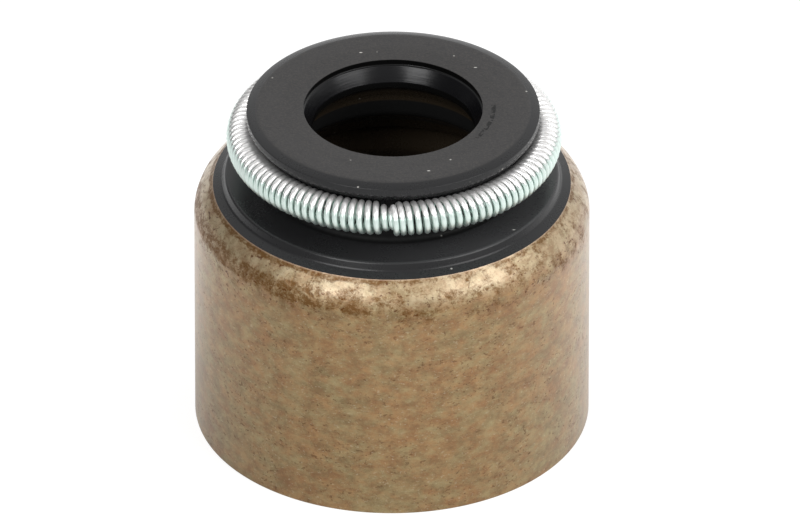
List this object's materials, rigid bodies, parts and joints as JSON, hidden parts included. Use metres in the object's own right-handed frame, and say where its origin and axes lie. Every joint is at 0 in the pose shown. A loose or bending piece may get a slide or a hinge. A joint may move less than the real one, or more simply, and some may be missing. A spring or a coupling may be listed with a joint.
{
  "type": "valve stem seal",
  "caption": "Valve stem oil seal: drawn steel can with a bonded rubber body, open guide socket below, sealing lip above, and a garter spring round its head.",
  "frame": {"origin": "centre of the can's open lower rim, on the surface that the seal stands on", "axes": "+Z along the valve stem's axis, from the open guide socket up to the head with the lip; -Y is the side with the garter spring's joint, which faces the camera in the picture"},
  "size_m": [0.014, 0.014, 0.0126],
  "materials": {
    "bronzed_steel": "drawn sheet steel with a mottled bronze-brown conversion coat, satin",
    "black_rubber": "moulded black fluorocarbon or nitrile rubber, satin, glossy in the lip's cone",
    "zinc_plate": "spring wire with bright zinc plate"
  },
  "bodies": {
    "root": {"metal_case": "bronzed_steel", "rubber_body": "black_rubber", "garter_spring": "zinc_plate"}
  },
  "joints": []
}
